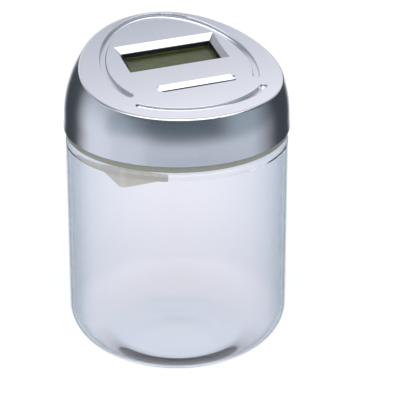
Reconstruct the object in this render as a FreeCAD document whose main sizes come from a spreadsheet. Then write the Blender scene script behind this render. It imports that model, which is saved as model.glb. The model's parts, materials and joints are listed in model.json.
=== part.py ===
"""Coin counting jar: a clear jar and a push-on lid with a display, a coin slot and their works.

Millimetres.  Z is up, the origin is the centre of the jar's base and the front is -Y.
"""
import FreeCAD, Part
import math
import os

import Sketcher
from FreeCAD import Placement, Rotation, Vector

SIZES = {
    # jar: one blow-moulded shell, turned about Z
    "jar_radius": 51.75, "jar_wall": 2.2, "jar_floor": 4.3, "jar_inner_corner": 17.0,
    "corner_width": 27.5, "corner_height": 21.3, "corner_side_radius": 18.0,
    "shoulder_radius": 3.0, "shoulder_top": 108.0, "shoulder_inside": 4.0,
    "neck_radius": 48.6, "neck_wall": 2.2, "neck_top": 120.5, "neck_lip": 0.5,
    "punt_radius": 19.0, "punt_depth": 0.8,
    # seal between the jar's neck and the lid's cup
    "seal_bottom": 112.3, "seal_top": 120.4, "seal_fin_gap": 0.07, "seal_bore_gap": 0.05,
    "seal_body": 0.65, "fin_height": 0.9,
    # collar that shows under the lid's silver rim
    "collar_bottom": 108.3, "collar_radius": 51.65, "collar_bore": 48.9,
    "sleeve_radius": 49.9, "sleeve_top": 118.0, "collar_chamfer": 0.4,
    # lid shell: a dome cut by one big cylinder that lies along X
    "lid_bottom": 111.2, "rim_radius": 52.5, "rim_chamfer": 0.3, "dome_radius": 52.15,
    "dome_z": 117.0, "lid_wall": 2.0, "top_wall": 2.6, "top_radius": 190.0,
    "top_axis_y": -49.5, "top_axis_z": 323.2, "edge_radius": 1.2, "soft_edge": 0.3,
    # display recess, in a frame tilted with the lid's top
    "display_x": 2.1, "display_y": 9.5, "display_sag": 0.25, "display_tilt": 18.0,
    "frame_width": 50.2, "frame_length": 19.5, "bevel": 2.6, "recess_depth": 2.5, "recess_lip": 0.5,
    "bezel_height": 2.6, "bezel_border": 2.6, "pane_height": 0.5, "pane_gap": 0.1,
    "lcd_width": 47.0, "lcd_length": 17.6, "lcd_height": 2.0, "reflector_height": 0.3,
    "zebra_width": 44.0, "zebra_length": 2.0, "zebra_height": 2.5, "zebra_inset": 0.4, "zebra_gap": 0.8,
    "board_width": 62.0, "board_length": 24.0, "board_height": 1.6,
    "board_boss_x": 28.2, "board_boss_y": 8.0, "board_boss_radius": 2.6, "board_screw_radius": 1.0,
    "board_screw_head_radius": 1.9, "board_screw_head": 1.2, "board_screw_grip": 4.0,
    "chip_x": 4.0, "chip_radius": 6.0, "chip_foot": 4.5, "chip_height": 1.5,
    # coin slot, its ramp and the slit
    "slot_x": 3.0, "slot_y": -15.8, "slot_length": 39.0, "slot_width": 5.5, "slot_depth": 1.5,
    "trench_width": 3.4, "trench_depth": 2.5, "slit_x": 2.4, "slit_length": 32.5, "slit_width": 3.0,
    "well_bottom": 131.0, "well_margin": 3.2,
    # grooves pressed into the lid's top
    "groove_x": 1.0, "groove_width": 3.0, "groove_depth": 1.7, "groove_round": 0.9, "groove_lip": 0.4,
    "ring_y": -1.0, "ring_radius": 35.1, "ring_from": -28.5, "ring_to": 206.5,
    "front_y": 6.0, "front_radius": 44.9, "front_from": 226.0, "front_to": 312.0,
    # underside cover: a cup that plugs the neck
    "cup_radius": 45.0, "cup_bore": 43.2, "cup_foot_radius": 45.6, "plate_bottom": 109.5,
    "plate_top": 112.0, "flange_bottom": 120.8, "flange_top": 122.3, "flange_radius": 49.2,
    "boss_radius": 3.0, "screw_radius": 1.25, "screw_top": 121.0,
    "screw_head_radius": 2.4, "screw_head": 1.6,
    # coin chute and its measuring lever
    "chute_gap": 4.6, "chute_wall": 1.6, "ear_end": 28.2, "ear_bottom": 123.0,
    "pivot_x": 24.0, "pivot_z": 127.0, "pin_radius": 1.0, "pin_front": -24.0, "pin_fit": 0.05,
    "lever_reach": 19.8, "lever_drop": 2.8, "lever_tip": 2.0, "lever_hub": 2.6, "lever_side_gap": 0.5,
    "lever_coil": 2.0, "lever_coil_pitch": 1.15, "lever_coil_length": 2.1, "coil_wire": 0.2,
    "tail_reach": 7.5, "tail_drop": 2.7, "tail_tip": 1.3, "wiper_reach": 6.3, "wiper_drop": 2.3,
    "wiper_radius": 1.1, "wiper_thickness": 0.3, "wiper_point": 0.5,
    "sensor_left": 23.0, "sensor_width": 14.0, "sensor_bottom": 114.0, "sensor_height": 16.9,
    "sensor_thickness": 1.6, "track_thickness": 0.1, "track_radius": 0.6,
    # battery box, its door and two AAA cells
    "box_left": -38.2, "box_width": 24.0, "box_length": 48.4, "box_bottom": 95.5, "box_wall": 1.0,
    "box_roof": 1.2, "box_corner": 3.0, "door_thickness": 1.4, "door_gap": 0.2,
    "hinge_y": 21.7, "hinge_z": 96.5, "hinge_pin_radius": 0.45, "hinge_barrel": 0.95,
    "cell_radius": 5.25, "cell_length": 43.7, "cell_z": 103.0, "cell_pitch": 10.7,
    "nub_radius": 2.0, "nub_length": 0.8, "contact_width": 7.0, "contact_thickness": 0.4,
    "battery_coil": 2.6, "battery_coil_pitch": 1.0, "rib_width": 0.8, "rib_pitch": 1.6, "rib_depth": 0.4,
    # reset button, in the cover
    "reset_x": 24.0, "reset_y": 10.0, "reset_radius": 3.5, "reset_gap": 0.3, "reset_proud": 0.6,
    "reset_disc_radius": 4.6, "reset_disc": 1.0, "reset_stem_radius": 1.5, "reset_stem_top": 116.2,
    "switch_side": 6.0, "switch_bottom": 118.0, "switch_height": 3.5, "actuator_radius": 1.75,
    "actuator_length": 0.5, "reset_coil": 2.3, "reset_coil_pitch": 1.15,
    "bridge_height": 1.7, "post_inner": 5.2, "post_outer": 7.0, "post_depth": 6.4,
    # battery leads
    "wire_radius": 0.6, "wire_hole": 0.8, "wire_x": -22.0, "wire_straight": 8.5, "wire_tail": 6.5,
}

COVER_SCREWS = ((30.0, -25.0), (25.0, 30.0), (-20.0, -34.0), (-20.0, 34.0))
SIDES = (-1, 1)
LEVER_TRACKS = 5
TRACK_FIRST, TRACK_STEP = -20.0, 11.0

doc = FreeCAD.newDocument("coin_jar")
sheet = doc.addObject("Spreadsheet::Sheet", "Dims")


class Dim:
    """A size: its value, and the expression of the sheet's cells that gives it."""

    def __init__(self, value, text=None):
        self.value = float(value)
        self.text = text or f"({value})"

    def join(self, sign, other, value):
        return Dim(value, f"({self.text} {sign} {dim(other).text})")

    def __add__(self, other):
        return self.join("+", other, self.value + dim(other).value)

    def __sub__(self, other):
        return self.join("-", other, self.value - dim(other).value)

    def __mul__(self, other):
        return self.join("*", other, self.value * dim(other).value)

    def __truediv__(self, other):
        return self.join("/", other, self.value / dim(other).value)

    def __neg__(self):
        return Dim(0) - self


def dim(number):
    return number if isinstance(number, Dim) else Dim(number)


def root(number):
    return Dim(math.sqrt(number.value), f"sqrt({number.text})")


def sine(angle):
    return Dim(math.sin(math.radians(angle.value)), f"sin({angle.text})")


def cosine(angle):
    return Dim(math.cos(math.radians(angle.value)), f"cos({angle.text})")


class Cells:
    """Every cell of the sheet by its alias, such as D.jar_radius."""

    def __init__(self):
        for row, (alias, value) in enumerate(SIZES.items(), start=1):
            sheet.set(f"A{row}", alias)
            sheet.set(f"B{row}", str(value))
            sheet.setAlias(f"B{row}", alias)
            setattr(self, alias, Dim(value, f"Dims.{alias}"))


D = Cells()
doc.recompute()


# ---------------------------------------------------------------- building blocks

def bind(obj, path, size):
    obj.setExpression(path, dim(size).text)


def at(obj, x, y, z):
    for axis, place in zip("xyz", (x, y, z)):
        bind(obj, f"Placement.Base.{axis}", place)
    return obj


def feature(kind, name, **sizes):
    obj = doc.addObject(f"Part::{kind}", name)
    for prop, size in sizes.items():
        bind(obj, prop, size)
    return obj


def box(name, x, y, z, length, width, height):
    return at(feature("Box", name, Length=length, Width=width, Height=height), x, y, z)


def centred_box(name, x, y, z, length, width, height):
    return box(name, dim(x) - dim(length) / 2, dim(y) - dim(width) / 2, z, length, width, height)


AXIS_TURN = {
    "X": Rotation(Vector(0, 1, 0), 90),
    "Y": Rotation(Vector(1, 0, 0), -90),
    "Z": Rotation(),
}


def rod(name, x, y, z, radius, length, axis="Z"):
    """A cylinder that starts at x, y, z and runs along +axis."""
    obj = feature("Cylinder", name, Radius=radius, Height=length)
    obj.Placement = Placement(Vector(), AXIS_TURN[axis])
    return at(obj, x, y, z)


def merge(kind, name, shapes):
    obj = doc.addObject(f"Part::{kind}", name)
    obj.Shapes = shapes
    obj.Refine = True
    return obj


def fuse(name, *shapes):
    return merge("MultiFuse", name, list(shapes))


def common(name, *shapes):
    return merge("MultiCommon", name, list(shapes))


def cut(name, base, *tools):
    obj = doc.addObject("Part::Cut", name)
    obj.Base = base
    obj.Tool = tools[0] if len(tools) == 1 else fuse(f"{name}_tools", *tools)
    obj.Refine = True
    return obj


def group(name, *solids):
    """Separate solids that share one node."""
    obj = doc.addObject("Part::Compound", name)
    obj.Links = list(solids)
    return obj


def rounded(name, base, radius, chosen):
    """base with a fillet on every edge that chosen(edge) picks."""
    doc.recompute()
    numbers = [i for i, edge in enumerate(base.Shape.Edges, start=1) if chosen(edge)]
    obj = doc.addObject("Part::Fillet", name)
    obj.Base = base
    obj.Edges = [(number, radius.value, radius.value) for number in numbers]
    return obj


def is_upright(edge):
    low, high = edge.BoundBox.ZMin, edge.BoundBox.ZMax
    return high - low > 1 and edge.BoundBox.XLength < 1e-6 and edge.BoundBox.YLength < 1e-6


def stadium(name, x, y, z, length, width, height):
    """An upright block along X with half-round ends, centred on x, y."""
    radius = width / 2
    half = length / 2 - radius
    block = centred_box(f"{name}_block", x, y, z, half * 2, width, height)
    ends = [rod(f"{name}_end_{side + 1}", x + half * side, y, z, radius, height) for side in SIDES]
    return fuse(name, block, *ends)


def origin_plane(body, role):
    return next(item for item in body.Origin.OriginFeatures if item.Role == role)


def arc_between(start, end, radius):
    """The arc from start to end; a positive radius turns left, a negative one turns right."""
    first, last = (start, end) if radius > 0 else (end, start)
    chord = last - first
    reach = math.sqrt(max(radius * radius - chord.Length ** 2 / 4, 0))
    across = Vector(-chord.y, chord.x, 0).normalize()
    centre = first + chord / 2 + across * reach
    angles = [math.atan2(point.y - centre.y, point.x - centre.x) for point in (first, last)]
    circle = Part.Circle(centre, Vector(0, 0, 1), abs(radius))
    return Part.ArcOfCircle(circle, angles[0], angles[1])


def draw(sketch, outline):
    """Draws a closed outline.  A corner is (across, up), or (across, up, radius) where an arc follows it."""
    corners = [(dim(corner[0]), dim(corner[1])) for corner in outline]
    points = [Vector(a.value, b.value, 0) for a, b in corners]
    starts = []
    for i, corner in enumerate(outline):
        start, end = points[i], points[(i + 1) % len(points)]
        if len(corner) == 3:
            radius = dim(corner[2])
            geo = sketch.addGeometry(arc_between(start, end, radius.value))
            row = sketch.addConstraint(Sketcher.Constraint("Radius", geo, abs(radius.value)))
            bind(sketch, f"Constraints[{row}]", radius if radius.value > 0 else -radius)
            starts.append((geo, 1 if radius.value > 0 else 2))
        else:
            geo = sketch.addGeometry(Part.LineSegment(start, end))
            starts.append((geo, 1))
    for i, (geo, start) in enumerate(starts):
        after, after_start = starts[(i + 1) % len(starts)]
        sketch.addConstraint(Sketcher.Constraint("Coincident", geo, 3 - start, after, after_start))
        for kind, axis, place in (("DistanceX", -2, corners[i][0]), ("DistanceY", -1, corners[i][1])):
            if abs(place.value) < 1e-9:
                sketch.addConstraint(Sketcher.Constraint("PointOnObject", geo, start, axis))
            else:
                fixed = Sketcher.Constraint(kind, -1, 1, geo, start, place.value)
                bind(sketch, f"Constraints[{sketch.addConstraint(fixed)}]", place)


def sketched(name, plane, outline, offset=0):
    body = doc.addObject("PartDesign::Body", name)
    sketch = body.newObject("Sketcher::SketchObject", f"{name}_profile")
    sketch.AttachmentSupport = [(origin_plane(body, plane), "")]
    sketch.MapMode = "FlatFace"
    bind(sketch, "AttachmentOffset.Base.z", offset)
    draw(sketch, outline)
    return body, sketch


def turned(name, outline):
    """A body turned about Z from an outline of (radius, height) corners."""
    body, sketch = sketched(name, "XZ_Plane", outline)
    turn = body.newObject("PartDesign::Revolution", f"{name}_turn")
    turn.Profile = sketch
    turn.ReferenceAxis = (sketch, ["V_Axis"])
    turn.Angle = 360
    return body


def padded(name, plane, outline, offset, length):
    """A body raised from an outline.  XZ_Plane raises it towards -Y, YZ_Plane towards +X."""
    body, sketch = sketched(name, plane, outline, offset)
    pad = body.newObject("PartDesign::Pad", f"{name}_pad")
    pad.Profile = sketch
    bind(pad, "Length", length)
    return body


def spring(name, x, y, z, radius, wire, pitch, length, axis="Z"):
    """A coil along +axis whose first turn starts at x, y, z."""
    helix = feature("Helix", f"{name}_line", Radius=radius, Pitch=pitch, Height=length)
    circle = feature("Circle", f"{name}_wire", Radius=wire)
    circle.Placement = Placement(Vector(), Rotation(Vector(1, 0, 0), 90))
    at(circle, radius, 0, 0)
    coil = doc.addObject("Part::Sweep", name)
    doc.recompute()
    coil.Sections = [circle]
    coil.Spine = (helix, [f"Edge{i + 1}" for i in range(len(helix.Shape.Edges))])
    coil.Solid = True
    coil.Frenet = True
    coil.Placement = Placement(Vector(), AXIS_TURN[axis])
    return at(coil, x, y, z)


# ---------------------------------------------------------------- shared places

def top_z(y):
    """Height of the lid's hollowed top above a point at y."""
    offset = dim(y) - D.top_axis_y
    return D.top_axis_z - root(D.top_radius * D.top_radius - offset * offset)


def tilted(obj, across, along, up, turn=0):
    """Puts obj in the display's frame: across is +X, along climbs the slope, up is square to it."""
    obj.Placement = Placement(Vector(), Rotation(Vector(1, 0, 0), D.display_tilt.value + turn))
    bind(obj, "Placement.Rotation.Angle", D.display_tilt + turn)
    rise, run = sine(D.display_tilt), cosine(D.display_tilt)
    middle_z = top_z(D.display_y) + D.display_sag
    y = D.display_y + dim(along) * run - dim(up) * rise
    z = middle_z + dim(along) * rise + dim(up) * run
    return at(obj, D.display_x + across, y, z)


def tilted_box(name, across, along, up, length, width, height):
    """A box in the display's frame, centred across and along, standing on up."""
    obj = feature("Box", name, Length=length, Width=width, Height=height)
    return tilted(obj, dim(across) - dim(length) / 2, dim(along) - dim(width) / 2, up)


def tilted_rod(name, across, along, up, radius, height):
    return tilted(feature("Cylinder", name, Radius=radius, Height=height), across, along, up)


def lcd_levels():
    """Heights below the display frame, from the recess down to the circuit board's underside."""
    levels = {"recess": -D.recess_depth}
    levels["bezel_top"] = levels["recess"] - D.recess_lip
    levels["lcd_top"] = levels["bezel_top"] - D.bezel_height
    levels["lcd_bottom"] = levels["lcd_top"] - D.lcd_height
    levels["board_top"] = levels["lcd_bottom"] - D.zebra_height
    levels["board_bottom"] = levels["board_top"] - D.board_height
    return levels


LEVELS = lcd_levels()
BOARD_HOLES = [(D.board_boss_x * i, D.board_boss_y * j) for i in SIDES for j in SIDES]
WINDOW_WIDTH = D.frame_width - D.bevel * 2
WINDOW_LENGTH = D.frame_length - D.bevel * 2
SLIT_Y = D.slot_y - (D.slot_width - D.slit_width) / 2
CHUTE_LEFT = D.slit_x - D.slit_length / 2
CHUTE_RIGHT = D.slit_x + D.slit_length / 2
CHUTE_FRONT = SLIT_Y - D.chute_gap / 2
CHUTE_BACK = SLIT_Y + D.chute_gap / 2
SENSOR_Y = CHUTE_BACK + D.chute_wall
BOX_MIDDLE = D.box_left + D.box_width / 2
CELL_BACK = D.box_length / 2 - D.box_wall
WIRE_STARTS = {"wire_red": 12.0, "wire_black": 6.0}
WIRE_ENDS = {"wire_red": (-19.0, 0.0), "wire_black": (-14.0, -4.0)}


# ---------------------------------------------------------------- jar and seal

def make_jar():
    wide, tall, side = D.corner_width, D.corner_height, D.corner_side_radius
    # The corner is two arcs that meet in tangent: the larger one grows out of the base.
    sweep = (wide * wide + tall * tall - wide * side * 2) / (tall * 2 - side * 2)
    foot = D.jar_radius - wide
    side_x = D.jar_radius - side
    share = side / (sweep - side)
    joint_x = side_x + (side_x - foot) * share
    joint_z = tall - (sweep - tall) * share
    bore = D.neck_radius - D.neck_wall
    inside = D.jar_radius - D.jar_wall
    inner = D.jar_inner_corner
    shoulder_x = D.jar_radius - D.shoulder_radius
    dish = (D.punt_radius * D.punt_radius + D.punt_depth * D.punt_depth) / (D.punt_depth * 2)
    return turned("jar_body", [
        (0, D.punt_depth, -dish),
        (D.punt_radius, 0),
        (foot, 0, sweep),
        (joint_x, joint_z, side),
        (D.jar_radius, tall),
        (D.jar_radius, D.shoulder_top - D.shoulder_radius, D.shoulder_radius),
        (shoulder_x, D.shoulder_top),
        (D.neck_radius, D.shoulder_top),
        (D.neck_radius, D.neck_top - D.neck_lip, D.neck_lip),
        (D.neck_radius - D.neck_lip, D.neck_top),
        (bore + D.neck_lip, D.neck_top, D.neck_lip),
        (bore, D.neck_top - D.neck_lip),
        (bore, D.shoulder_top - D.neck_lip),
        (inside, D.shoulder_top - D.neck_lip - D.shoulder_inside),
        (inside, D.jar_floor + inner, -inner),
        (inside - inner, D.jar_floor),
        (0, D.jar_floor),
    ])


def make_seal():
    bore = D.cup_radius + D.seal_bore_gap
    body = bore + D.seal_body
    fin = D.neck_radius - D.neck_wall - D.seal_fin_gap
    height = D.seal_top - D.seal_bottom
    outline = [(bore, D.seal_top), (bore, D.seal_bottom), (body, D.seal_bottom)]
    for share in (0.25, 0.5, 0.75):
        middle = D.seal_bottom + height * share
        outline += [
            (body, middle - D.fin_height),
            (fin, middle - D.fin_height / 4),
            (fin, middle + D.fin_height / 4),
            (body, middle + D.fin_height / 2),
        ]
    return turned("seal_ring", outline + [(body, D.seal_top)])


# ---------------------------------------------------------------- lid

def make_collar():
    edge = D.collar_chamfer
    return turned("inner_collar", [
        (D.collar_bore, D.collar_bottom),
        (D.collar_radius - edge, D.collar_bottom),
        (D.collar_radius, D.collar_bottom + edge),
        (D.collar_radius, D.lid_bottom),
        (D.sleeve_radius, D.lid_bottom),
        (D.sleeve_radius, D.sleeve_top),
        (D.collar_bore, D.sleeve_top),
    ])


def dome(name, rim, radius, chamfer):
    return turned(name, [
        (0, D.lid_bottom),
        (rim - chamfer, D.lid_bottom),
        (rim, D.lid_bottom + chamfer),
        (radius, D.dome_z, radius),
        (0, D.dome_z + radius),
    ])


def top_cylinder(name, radius):
    reach = D.rim_radius + 10
    return rod(name, -reach, D.top_axis_y, D.top_axis_z, radius, reach * 2, axis="X")


def pyramid(name, across, along, low, high):
    """The display's recess: its four sides slope out by bevel over recess_depth."""
    slope = D.bevel / D.recess_depth
    half_x = WINDOW_WIDTH / 2
    half_y = WINDOW_LENGTH / 2
    spread = (high - low) * slope
    obj = feature(
        "Wedge", name, Ymin=0, Ymax=high - low,
        Xmin=-half_x, Xmax=half_x, Zmin=-half_y, Zmax=half_y,
        X2min=-(half_x + spread), X2max=half_x + spread,
        Z2min=-(half_y + spread), Z2max=half_y + spread,
    )
    return tilted(obj, across, along, low, turn=90)


def groove(name, y, radius, start, stop):
    """A round-ended channel along an arc, as deep everywhere below the lid's curved top."""
    low, height = dim(120), dim(50)
    half = D.groove_width / 2
    ring = cut(f"{name}_ring",
               rod(f"{name}_outer", D.groove_x, y, low, radius + half, height),
               rod(f"{name}_inner", D.groove_x, y, low, radius - half, height))
    slice_ = rod(f"{name}_slice", D.groove_x, y, low, radius + 5, height)
    bind(slice_, "Angle", stop - start)
    slice_.Placement = Placement(Vector(), Rotation(Vector(0, 0, 1), start.value))
    bind(slice_, "Placement.Rotation.Angle", start)
    at(slice_, D.groove_x, y, low)
    ends = [
        rod(f"{name}_end_{i}", D.groove_x + radius * cosine(angle), y + radius * sine(angle),
            low, half, height)
        for i, angle in enumerate((start, stop))
    ]
    channel = fuse(f"{name}_channel", common(f"{name}_arc", ring, slice_), *ends)
    deep = top_cylinder(f"{name}_depth", D.top_radius + D.groove_depth)
    tool = common(f"{name}_tool", channel, deep)
    bottom = D.top_radius.value + D.groove_depth.value

    def on_floor(edge):
        points = [edge.valueAt(edge.FirstParameter + (edge.LastParameter - edge.FirstParameter) * t)
                  for t in (0.2, 0.5, 0.8)]
        reach = [math.hypot(p.y - D.top_axis_y.value, p.z - D.top_axis_z.value) for p in points]
        return all(abs(value - bottom) < 0.01 for value in reach)

    return rounded(f"{name}_soft", tool, D.groove_round, on_floor)


def slot_cutters():
    """The slot's round-ended mouth, the ramp and trench in it, and the slit in the trench's floor."""
    front, back = D.slot_y - D.slot_width / 2, D.slot_y + D.slot_width / 2
    foot = front + D.trench_width
    floor = top_z(foot) - D.slot_depth
    slope = (top_z(back) - floor) / (back - foot)
    beyond = dim(1.5)
    ceiling = top_z(back) + 6
    trench = floor - D.trench_depth
    ramp = padded("slot_ramp", "YZ_Plane", [
        (front - 1, trench),
        (foot, trench),
        (foot, floor),
        (back + beyond, top_z(back) + slope * beyond),
        (back + beyond, ceiling),
        (front - 1, ceiling),
    ], D.slot_x - D.slot_length / 2 - 1, D.slot_length + 2)
    mouth = stadium("slot_mouth", D.slot_x, D.slot_y, trench - 1, D.slot_length, D.slot_width, 12)
    slit = stadium("slot_slit", D.slit_x, SLIT_Y, D.well_bottom - 1, D.slit_length, D.slit_width, 12)
    return [common("slot_recess", mouth, ramp), slit]


def lid_thickenings():
    """What stays solid under the lid's top: the display's and slot's surrounds and the screw bosses."""
    well_x = D.slot_length + D.well_margin * 2
    well_y = D.slot_width + D.well_margin * 2
    parts = [
        tilted_box("display_well", 0, 0, LEVELS["bezel_top"],
                   D.frame_width + 4, D.frame_length + 4, 8),
        centred_box("slot_well", D.slot_x, D.slot_y, D.well_bottom, well_x, well_y, 20),
    ]
    for i, (across, along) in enumerate(BOARD_HOLES):
        parts.append(tilted_rod(f"board_boss_{i}", across, along, LEVELS["board_top"],
                                D.board_boss_radius, 20))
    for i, (x, y) in enumerate(COVER_SCREWS):
        parts.append(rod(f"cover_boss_{i}", x, y, D.plate_top, D.boss_radius, 50))
    return parts


def screw_cores():
    cores = []
    for i, (across, along) in enumerate(BOARD_HOLES):
        cores.append(tilted_rod(f"board_core_{i}", across, along, LEVELS["board_top"],
                                D.board_screw_radius, 5))
    for i, (x, y) in enumerate(COVER_SCREWS):
        cores.append(rod(f"cover_core_{i}", x, y, D.plate_top - 1, D.screw_radius,
                         D.screw_top - D.plate_top + 1))
    return cores


def along_edge(edge):
    """Three points of an edge."""
    start, stop = edge.FirstParameter, edge.LastParameter
    return [edge.valueAt(start + (stop - start) * t) for t in (0.1, 0.4, 0.7)]


def on_top(p):
    return abs(math.hypot(p.y - D.top_axis_y.value, p.z - D.top_axis_z.value) - D.top_radius.value) < 0.02


def dome_reach(p):
    return math.sqrt(p.x ** 2 + p.y ** 2 + (p.z - D.dome_z.value) ** 2)


def is_lid_edge(edge):
    """The sharp rim where the dome meets the hollowed top."""
    return all(on_top(p) and abs(dome_reach(p) - D.dome_radius.value) < 0.02 for p in along_edge(edge))


def is_lip(edge):
    """Where a recess, slot or groove breaks the hollowed top, well inside the lid's rim."""
    inside = D.dome_radius.value - D.edge_radius.value * 2
    return all(on_top(p) and dome_reach(p) < inside for p in along_edge(edge))


def is_groove_lip(edge):
    def beside(y, radius):
        reaches = [math.hypot(p.x - D.groove_x.value, p.y - y.value) for p in along_edge(edge)]
        return all(abs(reach - radius.value) < D.groove_width.value for reach in reaches)

    return is_lip(edge) and (beside(D.ring_y, D.ring_radius) or beside(D.front_y, D.front_radius))


def is_frame_lip(edge):
    behind_slot = edge.BoundBox.YMin > D.slot_y.value + D.slot_width.value
    return is_lip(edge) and not is_groove_lip(edge) and behind_slot


def is_slot_lip(edge):
    """The slot's front and ends; its back, where the ramp runs out, stays crisp."""
    return is_lip(edge) and not is_groove_lip(edge) and edge.BoundBox.YMin < D.slot_y.value + 0.5


def make_lid_shell():
    blank = dome("lid_blank", D.rim_radius, D.dome_radius, D.rim_chamfer)
    sharp = cut("lid_sharp", blank, top_cylinder("lid_top", D.top_radius))
    smooth = rounded("lid_smooth", sharp, D.edge_radius, is_lid_edge)
    core = dome("lid_core", D.rim_radius - D.lid_wall, D.dome_radius - D.lid_wall, dim(0.01))
    hollow = cut("lid_hollow", core, top_cylinder("lid_ceiling", D.top_radius + D.top_wall),
                 *lid_thickenings())
    shell = cut("lid_walls", smooth, hollow)
    recess = pyramid("display_recess", 0, 0, LEVELS["recess"], dim(1.5))
    window = tilted_box("display_opening", 0, 0, LEVELS["bezel_top"] - 1,
                        WINDOW_WIDTH, WINDOW_LENGTH, D.recess_lip + 2)
    grooves = [
        groove("ring_groove", D.ring_y, D.ring_radius, D.ring_from, D.ring_to),
        groove("front_groove", D.front_y, D.front_radius, D.front_from, D.front_to),
    ]
    crisp = cut("lid_crisp", shell, recess, window, *slot_cutters(), *grooves, *screw_cores())
    grooved = rounded("lid_groove_lips", crisp, D.groove_lip, is_groove_lip)
    framed = rounded("lid_frame_lips", grooved, D.soft_edge, is_frame_lip)
    return rounded("lid_shell", framed, D.soft_edge, is_slot_lip)


def make_cover():
    cup = turned("cover_cup", [
        (0, D.plate_bottom),
        (D.cup_foot_radius, D.plate_bottom),
        (D.cup_foot_radius, D.plate_top),
        (D.cup_radius, D.plate_top),
        (D.cup_radius, D.flange_bottom),
        (D.flange_radius, D.flange_bottom),
        (D.flange_radius, D.flange_top),
        (D.cup_bore, D.flange_top),
        (D.cup_bore, D.plate_top),
        (0, D.plate_top),
    ])
    top = D.switch_bottom + D.switch_height
    post = D.post_outer - D.post_inner
    posts = [
        centred_box(f"switch_post_{side + 1}", D.reset_x + (D.post_inner + post / 2) * side, D.reset_y,
                    D.plate_top, post, D.post_depth, top - D.plate_top)
        for side in SIDES
    ]
    bridge = centred_box("switch_bridge", D.reset_x, D.reset_y, top,
                         D.post_outer * 2, D.post_depth, D.bridge_height)
    low, height = D.plate_bottom - 1, D.plate_top - D.plate_bottom + 2
    holes = [
        box("coin_exit", CHUTE_LEFT, CHUTE_FRONT, low, D.slit_length, D.chute_gap, height),
        rod("reset_hole", D.reset_x, D.reset_y, low, D.reset_radius + D.reset_gap, height),
    ]
    for i, (x, y) in enumerate(COVER_SCREWS):
        holes.append(rod(f"cover_hole_{i}", x, y, low, D.screw_radius, height))
    for name, y in WIRE_STARTS.items():
        holes.append(rod(f"{name}_cover_hole", D.wire_x, y, low, D.wire_hole, height))
    return cut("underside_cover", fuse("cover_plate", cup, bridge, *posts), *holes)


def cross_recess(name, size, depth):
    """Two crossed bars, for a driver, centred on the origin."""
    bars = []
    for i, (length, width) in enumerate(((size, size / 4), (size / 4, size))):
        bars.append(centred_box(f"{name}_bar_{i}", 0, 0, -depth, length, width, depth * 2))
    return fuse(f"{name}_cross", *bars)


def screw(name, shank, length, head_radius, head):
    """A pan-head screw whose head stands below the origin and whose shank points up."""
    body = fuse(f"{name}_body",
                rod(f"{name}_head", 0, 0, -head, head_radius, head),
                rod(f"{name}_shank", 0, 0, 0, shank, length))
    socket = cross_recess(name, head_radius, head / 2)
    at(socket, 0, 0, -head)
    return cut(name, body, socket)


def make_cover_screws():
    screws = []
    for i, (x, y) in enumerate(COVER_SCREWS):
        one = screw(f"cover_screw_{i}", D.screw_radius, D.screw_top - D.plate_bottom - 0.5,
                    D.screw_head_radius, D.screw_head)
        screws.append(at(one, x, y, D.plate_bottom))
    return group("cover_screws", *screws)


def make_board_screws():
    screws = []
    for i, (across, along) in enumerate(BOARD_HOLES):
        one = screw(f"board_screw_{i}", D.board_screw_radius, D.board_height + D.board_screw_grip,
                    D.board_screw_head_radius, D.board_screw_head)
        screws.append(tilted(one, across, along, LEVELS["board_bottom"]))
    return group("board_screws", *screws)


# ---------------------------------------------------------------- display stack

def make_bezel():
    border = D.bezel_border * 2
    frame = tilted_box("bezel_frame", 0, 0, LEVELS["lcd_top"],
                       WINDOW_WIDTH + border, WINDOW_LENGTH + border, D.bezel_height)
    hole = tilted_box("bezel_hole", 0, 0, LEVELS["lcd_top"] - 1,
                      WINDOW_WIDTH, WINDOW_LENGTH, D.bezel_height + 2)
    return cut("display_bezel", frame, hole)


def make_window():
    return tilted_box("display_window", 0, 0, LEVELS["lcd_top"],
                      WINDOW_WIDTH - D.pane_gap * 2, WINDOW_LENGTH - D.pane_gap * 2, D.pane_height)


def make_lcd():
    return tilted_box("lcd_panel", 0, 0, LEVELS["lcd_bottom"], D.lcd_width, D.lcd_length, D.lcd_height)


def zebra_place():
    return -(D.lcd_length / 2) + D.zebra_length / 2 + D.zebra_inset


def make_reflector():
    length = D.lcd_length - D.zebra_length - D.zebra_inset - D.zebra_gap
    return tilted_box("lcd_reflector", 0, (D.lcd_length - length) / 2,
                      LEVELS["lcd_bottom"] - D.reflector_height, D.lcd_width, length, D.reflector_height)


def make_zebra():
    return tilted_box("zebra_strip", 0, zebra_place(), LEVELS["board_top"],
                      D.zebra_width, D.zebra_length, D.zebra_height)


def make_board():
    plate = tilted_box("board_plate", 0, 0, LEVELS["board_bottom"],
                       D.board_width, D.board_length, D.board_height)
    holes = [
        tilted_rod(f"board_hole_{i}", across, along, LEVELS["board_bottom"] - 1,
                   D.board_screw_radius, D.board_height + 2)
        for i, (across, along) in enumerate(BOARD_HOLES)
    ]
    return cut("circuit_board", plate, *holes)


def make_chip():
    chip = feature("Cone", "controller_chip", Radius1=D.chip_foot,
                   Radius2=D.chip_radius, Height=D.chip_height)
    return tilted(chip, D.chip_x, 0, LEVELS["board_bottom"] - D.chip_height)


# ---------------------------------------------------------------- coin chute and lever

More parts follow.
